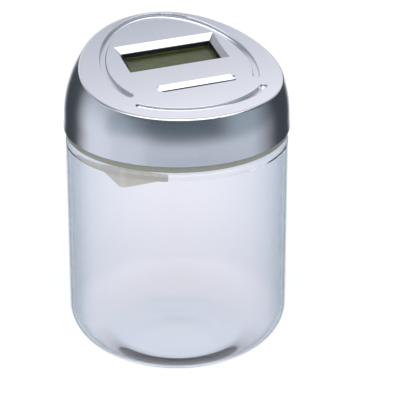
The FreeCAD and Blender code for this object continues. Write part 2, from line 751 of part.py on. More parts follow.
def make_slot_guide():
    wall, top = D.chute_wall, D.well_bottom
    height = top - D.plate_top
    outside = box("guide_block", CHUTE_LEFT - wall, CHUTE_FRONT - wall, D.plate_top,
                  D.slit_length + wall * 2, D.chute_gap + wall * 2, height)
    arm = D.ear_end - CHUTE_RIGHT - wall
    ears = [
        box("ear_front", CHUTE_RIGHT + wall, CHUTE_FRONT - wall, D.ear_bottom, arm, wall, top - D.ear_bottom),
        box("ear_back", CHUTE_RIGHT + wall, CHUTE_BACK, D.ear_bottom, arm, wall, top - D.ear_bottom),
    ]
    inside = box("guide_bore", CHUTE_LEFT, CHUTE_FRONT, D.plate_top - 1,
                 D.slit_length, D.chute_gap, height + 2)
    gate = box("guide_gate", CHUTE_RIGHT - 1, CHUTE_FRONT, D.plate_top - 1, wall + 2, D.chute_gap, height + 2)
    bore = rod("guide_pin_bore", D.pivot_x, CHUTE_FRONT - wall - 1, D.pivot_z,
               D.pin_radius, D.chute_gap + wall * 2 + 2, axis="Y")
    return cut("slot_guide", fuse("guide_walls", outside, *ears), inside, gate, bore)


def make_lever_pin():
    return rod("lever_pin", D.pivot_x, D.pin_front, D.pivot_z, D.pin_radius, SENSOR_Y - D.pin_front, axis="Y")


def make_lever_spring():
    return spring("lever_spring", D.pivot_x, D.pin_front + 0.5, D.pivot_z, D.lever_coil, D.coil_wire,
                  D.lever_coil_pitch, D.lever_coil_length, axis="Y")


def make_lever():
    front, back = CHUTE_FRONT + D.lever_side_gap, CHUTE_BACK - D.lever_side_gap
    thick = back - front
    hub, tip, tail = D.lever_hub - 0.4, D.lever_tip, D.tail_tip
    tip_x, tip_z = D.pivot_x - D.lever_reach, D.pivot_z - D.lever_drop
    tail_x, tail_z = D.pivot_x + D.tail_reach, D.pivot_z - D.tail_drop
    arms = padded("lever_arms", "XZ_Plane", [
        (tip_x, tip_z + tip),
        (tip_x, tip_z - tip),
        (D.pivot_x, D.pivot_z - hub),
        (tail_x, tail_z - tail),
        (tail_x, tail_z + tail),
        (D.pivot_x, D.pivot_z + hub),
    ], -back, thick)
    round_parts = [
        rod("lever_hub", D.pivot_x, front, D.pivot_z, D.lever_hub, thick, axis="Y"),
        rod("lever_tip", tip_x, front, tip_z, tip, thick, axis="Y"),
        rod("lever_tail", tail_x, front, tail_z, tail, thick, axis="Y"),
    ]
    bore = rod("lever_bore", D.pivot_x, front - 1, D.pivot_z, D.pin_radius + D.pin_fit, thick + 2, axis="Y")
    return cut("coin_lever", fuse("lever_solid", arms, *round_parts), bore)


def make_wiper():
    x, z = D.pivot_x + D.wiper_reach, D.pivot_z - D.wiper_drop
    start = CHUTE_BACK - D.lever_side_gap
    stop = SENSOR_Y - D.track_thickness * 3
    return fuse("lever_wiper",
                rod("wiper_plate", x, start, z, D.wiper_radius, D.wiper_thickness, axis="Y"),
                rod("wiper_point", x, start, z, D.wiper_point, stop - start, axis="Y"))


def make_sensor_board():
    return box("sensor_board", D.sensor_left, SENSOR_Y, D.sensor_bottom,
               D.sensor_width, D.sensor_thickness, D.sensor_height)


def make_tracks():
    reach = math.hypot(SIZES["wiper_reach"], SIZES["wiper_drop"])
    pads = []
    for i in range(LEVER_TRACKS):
        angle = math.radians(TRACK_FIRST + TRACK_STEP * i)
        pads.append(rod(f"track_{i}", D.pivot_x + reach * math.cos(angle), SENSOR_Y - D.track_thickness,
                        D.pivot_z + reach * math.sin(angle), D.track_radius, D.track_thickness, axis="Y"))
    return group("sensor_tracks", *pads)


# ---------------------------------------------------------------- battery box

def make_battery_box():
    height = D.plate_bottom - D.box_bottom
    block = centred_box("box_block", BOX_MIDDLE, 0, D.box_bottom, D.box_width, D.box_length, height)
    outside = rounded("box_outside", block, D.box_corner, is_upright)
    wall = D.box_wall * 2
    cavity = centred_box("box_cavity", BOX_MIDDLE, 0, D.box_bottom - 1,
                         D.box_width - wall, D.box_length - wall, height - D.box_roof + 1)
    soft = rounded("box_inside", cavity, D.box_corner - D.box_wall, is_upright)
    bore = rod("hinge_bore", D.box_left - 1, D.hinge_y, D.hinge_z,
               D.hinge_pin_radius, D.box_width + 2, axis="X")
    wires = [
        rod(f"{name}_box_hole", D.wire_x, y, D.plate_bottom - D.box_roof - 1, D.wire_hole, D.box_roof + 2)
        for name, y in WIRE_STARTS.items()
    ]
    return cut("battery_box", outside, soft, bore, *wires)


def make_door_pin():
    return rod("door_pin", D.box_left + 0.1, D.hinge_y, D.hinge_z,
               D.hinge_pin_radius, D.box_width - 0.2, axis="X")


def make_door():
    gap = D.box_wall + D.door_gap
    left = D.box_left + gap
    width = D.box_width - gap * 2
    front = -(D.box_length / 2) + gap
    plate = box("door_plate", left, front, D.box_bottom, width, D.hinge_y - front, D.door_thickness)
    corners = rounded("door_corners", plate, D.box_corner - D.box_wall,
                      lambda edge: is_upright(edge) and edge.BoundBox.YMax < 0)
    barrel = rod("door_barrel", left + 2, D.hinge_y, D.hinge_z, D.hinge_barrel, width - 4, axis="X")
    bore = rod("door_bore", left - 1, D.hinge_y, D.hinge_z,
               D.hinge_pin_radius + D.pin_fit, width + 2, axis="X")
    relief = [
        box(f"door_relief_{i}", x, D.hinge_y - 2, D.box_bottom - 1, 2, 4, 4)
        for i, x in enumerate((left, left + width - 2))
    ]
    ribs = [
        box(f"door_rib_{i}", left + 4, front + 2.2 + D.rib_pitch * i, D.box_bottom - 1,
            width - 8, D.rib_width, D.rib_depth + 1)
        for i in range(3)
    ]
    return cut("battery_door", fuse("door_solid", corners, barrel), bore, *relief, *ribs)


def make_cell(name, side):
    """side is -1 for the outer cell, whose positive end points back, and 1 for the inner one."""
    x = BOX_MIDDLE + D.cell_pitch / 2 * side
    tip = CELL_BACK - D.contact_thickness
    nub_start = tip - D.nub_length
    if side < 0:
        body_start, nub_place = nub_start - D.cell_length, nub_start
    else:
        body_start, nub_place = -nub_start, -tip
    return fuse(name,
                rod(f"{name}_can", x, body_start, D.cell_z, D.cell_radius, D.cell_length, axis="Y"),
                rod(f"{name}_nub", x, nub_place, D.cell_z, D.nub_radius, D.nub_length, axis="Y"))


def make_contacts():
    plates = []
    for side in SIDES:
        x = BOX_MIDDLE + D.cell_pitch / 2 * side
        y = CELL_BACK - D.contact_thickness if side < 0 else -CELL_BACK
        plates.append(box(f"contact_{side + 1}", x - D.contact_width / 2, y, D.cell_z - D.contact_width / 2,
                          D.contact_width, D.contact_thickness, D.contact_width))
    return group("battery_contacts", *plates)


def make_battery_springs():
    gap = CELL_BACK * 2 - D.contact_thickness - D.nub_length - D.cell_length
    wire = D.coil_wire
    coils = []
    for side in SIDES:
        x = BOX_MIDDLE + D.cell_pitch / 2 * side
        start = -CELL_BACK + wire if side < 0 else CELL_BACK - gap + wire
        coils.append(spring(f"battery_spring_{side + 1}", x, start, D.cell_z, D.battery_coil, wire,
                            D.battery_coil_pitch, gap - wire * 2, axis="Y"))
    return group("battery_springs", *coils)


# ---------------------------------------------------------------- reset button

def make_reset_button():
    low = D.plate_bottom - D.reset_proud
    cap = rod("reset_cap", D.reset_x, D.reset_y, low, D.reset_radius, D.plate_top - low)
    disc = rod("reset_disc", D.reset_x, D.reset_y, D.plate_top, D.reset_disc_radius, D.reset_disc)
    stem = rod("reset_stem", D.reset_x, D.reset_y, D.plate_top, D.reset_stem_radius,
               D.reset_stem_top - D.plate_top)
    return fuse("reset_button", cap, disc, stem)


def make_reset_switch():
    body = centred_box("switch_body", D.reset_x, D.reset_y, D.switch_bottom,
                       D.switch_side, D.switch_side, D.switch_height)
    actuator = rod("switch_actuator", D.reset_x, D.reset_y, D.switch_bottom - D.actuator_length,
                   D.actuator_radius, D.actuator_length)
    return fuse("reset_switch", body, actuator)


def make_reset_spring():
    low = D.plate_top + D.reset_disc + D.coil_wire
    return spring("reset_spring", D.reset_x, D.reset_y, low, D.reset_coil, D.coil_wire, D.reset_coil_pitch,
                  D.switch_bottom - low - D.coil_wire)


# ---------------------------------------------------------------- battery leads

def lead_path(points):
    """Straight runs joined by tangent arcs, each as large as its two runs allow."""
    edges, last = [], points[0]
    for before, corner, after in zip(points, points[1:], points[2:]):
        into, out = (corner - before).normalize(), (after - corner).normalize()
        turn = into.getAngle(out)
        trim = 0.45 * min((corner - before).Length, (after - corner).Length)
        radius = trim / math.tan(turn / 2)
        start, end = corner - into * trim, corner + out * trim
        inward = (out - into).normalize()
        middle = corner + inward * (radius / math.cos(turn / 2) - radius)
        edges += [Part.LineSegment(last, start).toShape(), Part.Arc(start, middle, end).toShape()]
        last = end
        print(f"lead corner radius {radius:.1f} mm, turn {math.degrees(turn):.0f} degrees")
    return Part.Wire(edges + [Part.LineSegment(last, points[-1]).toShape()])


def make_lead(name):
    """One battery lead, from the battery box's roof to its pad under the circuit board."""
    across, along = WIRE_ENDS[name]
    tilt = math.radians(SIZES["display_tilt"])
    slope = Vector(0, math.cos(tilt), math.sin(tilt))
    normal = Vector(0, -math.sin(tilt), math.cos(tilt))
    middle = Vector(SIZES["display_x"], SIZES["display_y"],
                    top_z(D.display_y).value + SIZES["display_sag"])
    pad = middle + Vector(across, 0, 0) + slope * along + normal * LEVELS["board_bottom"].value
    roof = SIZES["plate_bottom"] - SIZES["box_roof"]
    start = Vector(SIZES["wire_x"], WIRE_STARTS[name], roof)
    above, below = start + Vector(0, 0, SIZES["wire_straight"]), pad - normal * SIZES["wire_tail"]
    path = lead_path([start, above, below, pad])
    circle = Part.Wire(Part.makeCircle(SIZES["wire_radius"], start, Vector(0, 0, 1)))
    obj = doc.addObject("Part::Feature", name)
    obj.Shape = path.makePipeShell([circle], True, True)
    expected = math.pi * SIZES["wire_radius"] ** 2 * path.Length
    print(f"{name}: {path.Length:.1f} mm long, volume {obj.Shape.Volume:.2f} of {expected:.2f}")
    return obj


# ---------------------------------------------------------------- the whole jar

def make_parts():
    return {
        "jar_body": make_jar(),
        "seal_ring": make_seal(),
        "lid_shell": make_lid_shell(),
        "inner_collar": make_collar(),
        "underside_cover": make_cover(),
        "cover_screws": make_cover_screws(),
        "display_bezel": make_bezel(),
        "display_window": make_window(),
        "lcd_panel": make_lcd(),
        "lcd_reflector": make_reflector(),
        "zebra_strip": make_zebra(),
        "circuit_board": make_board(),
        "controller_chip": make_chip(),
        "board_screws": make_board_screws(),
        "slot_guide": make_slot_guide(),
        "lever_pin": make_lever_pin(),
        "lever_spring": make_lever_spring(),
        "coin_lever": make_lever(),
        "lever_wiper": make_wiper(),
        "sensor_board": make_sensor_board(),
        "sensor_tracks": make_tracks(),
        "battery_box": make_battery_box(),
        "battery_door": make_door(),
        "door_pin": make_door_pin(),
        "battery_left": make_cell("battery_left", -1),
        "battery_right": make_cell("battery_right", 1),
        "battery_contacts": make_contacts(),
        "battery_springs": make_battery_springs(),
        "reset_button": make_reset_button(),
        "reset_switch": make_reset_switch(),
        "reset_spring": make_reset_spring(),
        "wire_red": make_lead("wire_red"),
        "wire_black": make_lead("wire_black"),
    }


def check(parts):
    faults = [obj.Name for obj in doc.Objects if {"Invalid", "Error"} & set(obj.State)]
    for name, obj in parts.items():
        if obj.Shape.isNull() or not obj.Shape.isValid() or obj.Shape.Volume <= 0:
            faults.append(f"{name} shape")
    if faults:
        raise RuntimeError(f"failed: {faults}")


def write(parts):
    os.makedirs("parts", exist_ok=True)
    for name, obj in parts.items():
        obj.Label = name
        obj.Shape.exportStep(f"parts/{name}.step")
        print(f"{name}: {len(obj.Shape.Solids)} solid(s), {obj.Shape.Volume:.1f} mm3")


parts = make_parts()
doc.recompute()
check(parts)
write(parts)
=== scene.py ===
"""Looks for the coin counting jar: materials, light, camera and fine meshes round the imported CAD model."""
import json
import math

import bmesh
import bpy
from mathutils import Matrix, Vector


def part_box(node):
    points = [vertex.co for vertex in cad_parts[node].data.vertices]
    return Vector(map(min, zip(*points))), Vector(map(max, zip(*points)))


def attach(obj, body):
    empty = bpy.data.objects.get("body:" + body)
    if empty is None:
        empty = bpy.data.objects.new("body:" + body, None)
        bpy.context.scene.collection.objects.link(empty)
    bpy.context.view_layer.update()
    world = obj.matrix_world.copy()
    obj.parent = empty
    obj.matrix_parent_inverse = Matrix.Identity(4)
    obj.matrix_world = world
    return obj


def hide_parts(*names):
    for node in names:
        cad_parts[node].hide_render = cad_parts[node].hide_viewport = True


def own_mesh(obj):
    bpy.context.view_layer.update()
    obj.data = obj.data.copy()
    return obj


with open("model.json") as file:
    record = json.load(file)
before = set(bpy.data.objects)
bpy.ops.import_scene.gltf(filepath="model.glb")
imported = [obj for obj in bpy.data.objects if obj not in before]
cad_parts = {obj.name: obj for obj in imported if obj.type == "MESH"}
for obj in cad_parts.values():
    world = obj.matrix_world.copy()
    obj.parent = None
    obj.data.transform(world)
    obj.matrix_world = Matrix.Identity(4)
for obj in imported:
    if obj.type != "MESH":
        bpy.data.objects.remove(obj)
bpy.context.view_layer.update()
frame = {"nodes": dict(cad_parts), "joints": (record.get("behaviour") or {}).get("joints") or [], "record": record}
nodes = frame["nodes"]
scene = bpy.context.scene


# ---------------------------------------------------------------- node helpers

class Nodes:
    """A small builder for one node tree; linear values throughout."""

    def __init__(self, tree):
        self.tree = tree
        self.tree.nodes.clear()

    def node(self, kind, **settings):
        made = self.tree.nodes.new(f"ShaderNode{kind}")
        for key, value in settings.items():
            setattr(made, key, value)
        return made

    def link(self, start, end):
        self.tree.links.new(start, end)
        return end

    def place(self, stretch=(1.0, 1.0, 1.0)):
        """Object coordinates in metres, times stretch."""
        coords = self.node("TexCoord")
        mapping = self.node("Mapping")
        mapping.inputs["Scale"].default_value = stretch
        self.link(coords.outputs["Object"], mapping.inputs["Vector"])
        return mapping.outputs[0]

    def noise(self, scale, detail=4.0, roughness=0.55, stretch=(1.0, 1.0, 1.0)):
        made = self.node("TexNoise")
        made.inputs["Scale"].default_value = scale
        made.inputs["Detail"].default_value = detail
        made.inputs["Roughness"].default_value = roughness
        self.link(self.place(stretch), made.inputs["Vector"])
        return made.outputs["Fac"]

    def maths(self, operation, *values):
        made = self.node("Math", operation=operation)
        for socket, value in zip(made.inputs, values):
            if isinstance(value, (int, float)):
                socket.default_value = value
            else:
                self.link(value, socket)
        return made.outputs[0]

    def spread(self, factor, low, high, start=0.3, stop=0.7):
        """A number: low where factor is under start, high above stop."""
        made = self.node("MapRange")
        made.inputs["From Min"].default_value, made.inputs["From Max"].default_value = start, stop
        made.inputs["To Min"].default_value, made.inputs["To Max"].default_value = low, high
        self.link(factor, made.inputs["Value"])
        return made.outputs[0]

    def blend(self, factor, low, high, start=0.3, stop=0.7):
        """A colour: low where factor is under start, high above stop."""
        made = self.node("ValToRGB")
        for element, place, colour in zip(made.color_ramp.elements, (start, stop), (low, high)):
            element.position = place
            element.color = (*colour, 1)
        self.link(factor, made.inputs[0])
        return made.outputs[0]


class Surface(Nodes):
    """A material with one Principled shader."""

    def __init__(self, name, **values):
        self.material = bpy.data.materials.new(name)
        self.material.use_nodes = True
        super().__init__(self.material.node_tree)
        self.output = self.node("OutputMaterial")
        self.shader = self.node("BsdfPrincipled")
        self.link(self.shader.outputs[0], self.output.inputs["Surface"])
        for key, value in values.items():
            socket = self.shader.inputs[key.replace("_", " ")]
            socket.default_value = (*value, 1.0) if isinstance(value, tuple) else value

    def colour(self, factor, low, high, start=0.3, stop=0.7):
        self.link(self.blend(factor, low, high, start, stop), self.shader.inputs["Base Color"])
        return self

    def rough(self, factor, low, high):
        self.link(self.spread(factor, low, high), self.shader.inputs["Roughness"])
        return self

    def bump(self, height, strength, distance):
        made = self.node("Bump")
        made.inputs["Strength"].default_value = strength
        made.inputs["Distance"].default_value = distance
        self.link(height, made.inputs["Height"])
        self.link(made.outputs[0], self.shader.inputs["Normal"])
        return self


# ---------------------------------------------------------------- materials

def silver_paint():
    """Silver lacquer on moulded plastic: metal flakes under a thin clear coat."""
    s = Surface("silver_paint", Metallic=1.0, Coat_Weight=0.15, Coat_Roughness=0.08)
    flakes = s.noise(3000, 2.0)
    s.colour(flakes, (0.63, 0.65, 0.69), (0.70, 0.72, 0.76))
    s.rough(s.noise(60, 3.0), 0.20, 0.23)
    return s.bump(flakes, strength=0.04, distance=0.00003).material


def clear_jar():
    """Clear moulded wall with a faint lavender tint that is painted shade, and painted darker, bluer shade at its
    edges where it is seen at a slant; light going far inside it turns teal.
    """
    s = Surface("clear_jar", Roughness=0.0, IOR=1.46, Transmission_Weight=1.0)
    painted_edge_shade = s.node("LayerWeight")
    painted_edge_shade.inputs["Blend"].default_value = 0.35
    # painted shade: the wall's colour turns grey-blue where it is seen at a slant, standing in for the dark
    # reflections at the jar's edges; face on, its faint lavender is painted shade too
    s.colour(painted_edge_shade.outputs["Facing"], (0.925, 0.898, 0.932), (0.53, 0.58, 0.66), 0.08, 0.80)
    s.bump(s.noise(22, 1.0, stretch=(1.0, 1.0, 0.5)), strength=0.12, distance=0.0006)
    depth = s.node("VolumeAbsorption")
    depth.inputs["Color"].default_value = (0.35, 0.72, 0.80, 1)
    depth.inputs["Density"].default_value = 34
    s.link(depth.outputs[0], s.output.inputs["Volume"])
    return s.material


def clear_window():
    """The display's pane, coated so that it mirrors little."""
    s = Surface("clear_window", Base_Color=(0.99, 0.99, 0.99), Roughness=0.02, IOR=1.3,
                Transmission_Weight=1.0)
    return s.bump(s.noise(120, 1.0), strength=0.03, distance=0.0001).material


def plastic(name, low, high, roughness):
    """Moulded plastic or rubber with a fine grain, between two shades of its colour."""
    s = Surface(name)
    grain = s.noise(900, 3.0)
    s.colour(grain, low, high)
    s.rough(s.noise(150, 2.0), roughness, roughness + 0.08)
    return s.bump(grain, strength=0.25, distance=0.00004).material


def metal(name, low, high, roughness):
    """Bare metal, between two shades of its colour, smoother where it is darker."""
    s = Surface(name, Metallic=1.0)
    grain = s.noise(700, 5.0)
    s.colour(grain, low, high)
    s.rough(grain, roughness, roughness + 0.12)
    return s.bump(grain, strength=0.1, distance=0.00003).material


def lcd_glass():
    """The unlit display: dark olive, a little uneven, with a fine grain."""
    s = Surface("lcd_glass", Specular_IOR_Level=0.25)
    s.colour(s.noise(45, 2.0), (0.094, 0.120, 0.024), (0.115, 0.142, 0.036))
    s.rough(s.noise(400, 2.0), 0.35, 0.45)
    return s.bump(s.noise(1500, 1.0), strength=0.1, distance=0.00002).material


MATERIALS = {
    "clear_jar": clear_jar(),
    "seal_rubber": plastic("seal_rubber", (0.50, 0.51, 0.51), (0.56, 0.57, 0.57), 0.6),
    "silver_paint": silver_paint(),
    "olive_plastic": plastic("olive_plastic", (0.20, 0.21, 0.175), (0.24, 0.25, 0.21), 0.06),
    "grey_plastic": plastic("grey_plastic", (0.36, 0.36, 0.34), (0.42, 0.42, 0.40), 0.45),
    "beige_plastic": plastic("beige_plastic", (0.53, 0.515, 0.455), (0.57, 0.555, 0.495), 0.4),
    "white_plastic": plastic("white_plastic", (0.70, 0.70, 0.67), (0.76, 0.76, 0.73), 0.4),
    "black_plastic": plastic("black_plastic", (0.008, 0.008, 0.010), (0.015, 0.015, 0.018), 0.35),
    "clear_window": clear_window(),
    "lcd_glass": lcd_glass(),
    "reflector_foil": metal("reflector_foil", (0.6, 0.6, 0.58), (0.7, 0.7, 0.68), 0.3),
    "zebra_rubber": plastic("zebra_rubber", (0.02, 0.02, 0.025), (0.05, 0.05, 0.06), 0.6),
    "board_laminate": plastic("board_laminate", (0.01, 0.09, 0.03), (0.015, 0.12, 0.04), 0.3),
    "black_epoxy": plastic("black_epoxy", (0.006, 0.006, 0.006), (0.012, 0.012, 0.012), 0.15),
    "zinc_steel": metal("zinc_steel", (0.55, 0.55, 0.53), (0.68, 0.68, 0.66), 0.3),
    "steel_wire": metal("steel_wire", (0.5, 0.5, 0.51), (0.62, 0.62, 0.63), 0.25),
    "contact_brass": metal("contact_brass", (0.7, 0.5, 0.2), (0.8, 0.6, 0.28), 0.25),
    "nickel_plate": metal("nickel_plate", (0.6, 0.58, 0.54), (0.72, 0.7, 0.65), 0.15),
    "cell_jacket": plastic("cell_jacket", (0.02, 0.03, 0.05), (0.03, 0.04, 0.065), 0.2),
    "red_insulation": plastic("red_insulation", (0.4, 0.01, 0.01), (0.5, 0.02, 0.02), 0.4),
    "black_insulation": plastic("black_insulation", (0.01, 0.01, 0.01), (0.02, 0.02, 0.02), 0.4),
}

# ---------------------------------------------------------------- CAD nodes

SMOOTH_ANGLE = math.radians(25)  # an edge that bends less is shaded round
WELD = 1e-6  # metres; points of neighbouring CAD faces this close are one


def crisp_normals():
    """A node group that joins a CAD node's faces, and shades its edges sharp or smooth by their angle.

    The normals stored with the mesh are dropped, since they belong to the separate faces."""
    group = bpy.data.node_groups.new("crisp_normals", "GeometryNodeTree")
    for way in ("INPUT", "OUTPUT"):
        group.interface.new_socket("Geometry", in_out=way, socket_type="NodeSocketGeometry")
    add, link = group.nodes.new, group.links.new
    start, stop = add("NodeGroupInput"), add("NodeGroupOutput")
    merge, plain = add("GeometryNodeMergeByDistance"), add("GeometryNodeRemoveAttribute")
    angle, gentle = add("GeometryNodeInputMeshEdgeAngle"), add("FunctionNodeCompare")
    merge.inputs["Distance"].default_value = WELD
    gentle.operation = "LESS_THAN"
    gentle.inputs[1].default_value = SMOOTH_ANGLE
    edges, faces = add("GeometryNodeSetShadeSmooth"), add("GeometryNodeSetShadeSmooth")
    edges.domain = "EDGE"
    plain.inputs["Name"].default_value = "custom_normal"
    link(angle.outputs["Unsigned Angle"], gentle.inputs[0])
    link(gentle.outputs[0], edges.inputs["Shade Smooth"])
    chain = [start, merge, edges, faces, plain, stop]
    for one, other in zip(chain, chain[1:]):
        link(one.outputs[0], other.inputs[0])
    return group


def finish_cad_nodes():
    """Every CAD node gets its slot's material, and its round faces are shaded as round."""
    group = crisp_normals()
    for row in frame["record"]["subparts"]:
        obj = nodes[row["node"]]
        obj.data.materials.clear()
        obj.data.materials.append(MATERIALS[row["material_slot"]])
        obj.modifiers.new("crisp_normals", "NODES").node_group = group
        weighted = obj.modifiers.new("flat_faces_first", "WEIGHTED_NORMAL")
        weighted.keep_sharp = True


def add_spring_travel():
    """Each node that a joint deforms, such as a spring under a sliding button, gets a mesh of its own."""
    for joint in frame["joints"]:
        for row in joint.get("deforming_nodes", []):
            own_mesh(nodes[row["node"]])


# ---------------------------------------------------------------- the jar

MM = 0.001
# the jar's section, in millimetres; its outer radius and its top come from the frame
JAR_WALL, JAR_FLOOR, INNER_CORNER = 2.2, 4.3, 17.0
CORNER_WIDTH, CORNER_HEIGHT, CORNER_SIDE = 27.5, 21.3, 18.0
SHOULDER, SHOULDER_TOP, SHOULDER_INSIDE = 3.0, 108.0, 4.0
NECK_RADIUS, NECK_WALL, LIP = 48.6, 2.2, 0.5
PUNT_RADIUS, PUNT_DEPTH = 19.0, 0.8
# how finely it is drawn
AROUND = 224  # points in a circle
ARC_STEP, ARC_FEWEST = 5, 4  # degrees a step, and the fewest steps in an arc
SUPPORT = 0.4  # a point this far from each corner keeps the long faces' shading flat
ON_AXIS = 1e-6


def arc(start, stop, radius, steps):
    """Points after start up to stop round a circle; its centre is left of the way if radius is positive."""
    a, b = Vector(start), Vector(stop)
    way = b - a
    reach = math.copysign(math.sqrt(radius ** 2 - way.length_squared / 4), radius)
    centre = (a + b) / 2 + Vector((-way.y, way.x)).normalized() * reach
    first, last = (math.atan2(*reversed(p - centre)) for p in (a, b))
    sweep = (last - first + math.pi) % math.tau - math.pi
    turns = [first + sweep * (i + 1) / steps for i in range(steps)]
    return [centre + Vector((math.cos(t), math.sin(t))) * abs(radius) for t in turns]


def outline(corners):
    """A section's points from (radius, height, bend) corners: bend is the arc's radius to the next one."""
    points = []
    for here, there in zip(corners, corners[1:]):
        a, b = Vector(here[:2]), Vector(there[:2])
        points.append(a)
        if len(here) > 2:
            turn = 2 * math.asin(min(1.0, (b - a).length / 2 / abs(here[2])))
            points += arc(a, b, here[2], max(ARC_FEWEST, round(math.degrees(turn) / ARC_STEP)))[:-1]
        elif (b - a).length > SUPPORT * 3:
            step = (b - a).normalized() * SUPPORT
            points += [a + step, b - step]
    return points + [Vector(corners[-1])]


def lathe(name, points, material):
    """A closed solid of revolution about Z, from its section's points in millimetres.

    The section starts and ends on the axis, where a ring is one point."""
    bm = bmesh.new()
    circle = [(math.cos(math.tau * i / AROUND), math.sin(math.tau * i / AROUND)) for i in range(AROUND)]
    rings = []
    for r, z in points:
        if r < ON_AXIS:
            rings.append([bm.verts.new((0, 0, z * MM))] * AROUND)
        else:
            rings.append([bm.verts.new((r * c * MM, r * d * MM, z * MM)) for c, d in circle])
    for low, high in zip(rings, rings[1:]):
        for i in range(AROUND):
            j = (i + 1) % AROUND
            corners = list(dict.fromkeys((low[i], low[j], high[j], high[i])))
            if len(corners) > 2:
                bm.faces.new(corners)
    mesh = bpy.data.meshes.new(name)
    bm.to_mesh(mesh)
    bm.free()
    mesh.shade_smooth()
    mesh.set_sharp_from_angle(angle=SMOOTH_ANGLE)
    mesh.materials.append(material)
    obj = bpy.data.objects.new(name, mesh)
    scene.collection.objects.link(obj)
    return obj


def add_jar():
    """The jar's clear shell, smoother round than the CAD node that it stands for."""
    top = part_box("jar_body")[1]
    radius, neck_top = top.x / MM, top.z / MM
    # the foot's corner is two arcs, a wide sweep up from the foot and a tighter one into the side
    wide, tall, side = CORNER_WIDTH, CORNER_HEIGHT, CORNER_SIDE
    sweep = (wide ** 2 + tall ** 2 - 2 * wide * side) / (2 * (tall - side))
    share = side / (sweep - side)
    foot, side_x = radius - wide, radius - side
    joint = (side_x + (side_x - foot) * share, tall - (sweep - tall) * share)
    inside, bore = radius - JAR_WALL, NECK_RADIUS - NECK_WALL
    dish = (PUNT_RADIUS ** 2 + PUNT_DEPTH ** 2) / (2 * PUNT_DEPTH)
    section = outline([
        # outside, from the punt up to the neck's lip
        (0, PUNT_DEPTH, -dish), (PUNT_RADIUS, 0), (foot, 0, sweep), (*joint, side), (radius, tall),
        (radius, SHOULDER_TOP - SHOULDER, SHOULDER), (radius - SHOULDER, SHOULDER_TOP),
        (NECK_RADIUS, SHOULDER_TOP),
        (NECK_RADIUS, neck_top - LIP, LIP), (NECK_RADIUS - LIP, neck_top),
        # inside, from the lip down to the floor
        (bore + LIP, neck_top, LIP), (bore, neck_top - LIP), (bore, SHOULDER_TOP - LIP),
        (inside, SHOULDER_TOP - LIP - SHOULDER_INSIDE), (inside, JAR_FLOOR + INNER_CORNER, -INNER_CORNER),
        (inside - INNER_CORNER, JAR_FLOOR), (0, JAR_FLOOR),
    ])
    jar = lathe("jar_glass", section, MATERIALS["clear_jar"])
    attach(jar, "jar")
    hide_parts("jar_body")
    # lamps shine through the clear wall unbent, so it throws no dark ring on the floor
    jar.visible_diffuse = jar.visible_shadow = False


# ---------------------------------------------------------------- floor, light and camera

CAMERA_AZIMUTH, CAMERA_ELEVATION = -24.4, 24.17
CAMERA_DISTANCE, CAMERA_TARGET, CAMERA_ASIDE = 0.963, 0.0722, 0.0107
CAMERA_LENS, CAMERA_SENSOR = 183.8, 36
CAMERA_NEAR, CAMERA_FAR = 0.05, 20
STUDIO_REACH, STUDIO_SEGMENTS = 6.0, 64
FLOOR_GAP = 0.0002  # keeps the floor off the jar's foot
DOME_RADIUS, DOME_HEIGHT = 5.0, 0.1
LAMP_AIM = Vector((0, 0, 0.08))
WORLD_LOW, WORLD_HIGH = (1.0, 1.0, 1.0), (0.72, 0.73, 0.75)
WORLD_TURN = 0.8  # the sine of the elevation from which the world is as WORLD_HIGH
WORLD_STRENGTH = 1.3
# colours of light in the dome
ROOM_DARK = (0.055, 0.070, 0.080)
BACK_WALL, BACK_WALL_TOP = (1.16, 1.14, 1.20), (0.58, 0.62, 0.69)
SOFT_BOX, LOW_BOX = (2.2, 2.2, 2.25), (2.0, 2.0, 2.05)
TABLE_LEFT, TABLE_MIDDLE, TABLE_RIGHT = (0.92, 0.95, 1.03), (0.82, 0.85, 0.93), (0.71, 0.75, 0.84)
TABLE_BACK = (0.95, 0.97, 1.05)
HAZE, HAZE_TOP = (0.15, 0.20, 0.24), (0.08, 0.105, 0.13)
LEFT_GLOW, LEFT_GLOW_TOP = (0.90, 0.94, 1.02), (0.60, 0.67, 0.74)
LEFT_DUSK, LEFT_DUSK_TOP = (0.46, 0.53, 0.61), (0.24, 0.32, 0.38)
RIGHT_DUSK = (0.40, 0.47, 0.53)


def direction(azimuth, elevation):
    """From the jar towards that azimuth and elevation in degrees; azimuth 0 is the front, 90 the right."""
    a, e = math.radians(azimuth), math.radians(elevation)
    return Vector((math.sin(a) * math.cos(e), -math.cos(a) * math.cos(e), math.sin(e)))


def add_stage(name, mesh, material):
    """An object of the studio, which isn't part of the jar."""
    obj = bpy.data.objects.new(name, mesh)
    mesh.materials.append(material)
    scene.collection.objects.link(obj)
    return obj


def add_floor():
    """A matt white table."""
    mesh = bpy.data.meshes.new("studio_floor")
    bm = bmesh.new()
    bmesh.ops.create_circle(bm, cap_ends=True, radius=STUDIO_REACH, segments=STUDIO_SEGMENTS)
    bm.to_mesh(mesh)
    bm.free()
    s = Surface("studio_white")
    s.colour(s.noise(3, 2.0), (0.93, 0.93, 0.935), (0.95, 0.95, 0.955))
    s.rough(s.noise(40, 2.0), 0.85, 0.95)
    floor = add_stage("studio_floor", mesh, s.material)
    floor.location.z = -FLOOR_GAP
    floor.visible_glossy = False


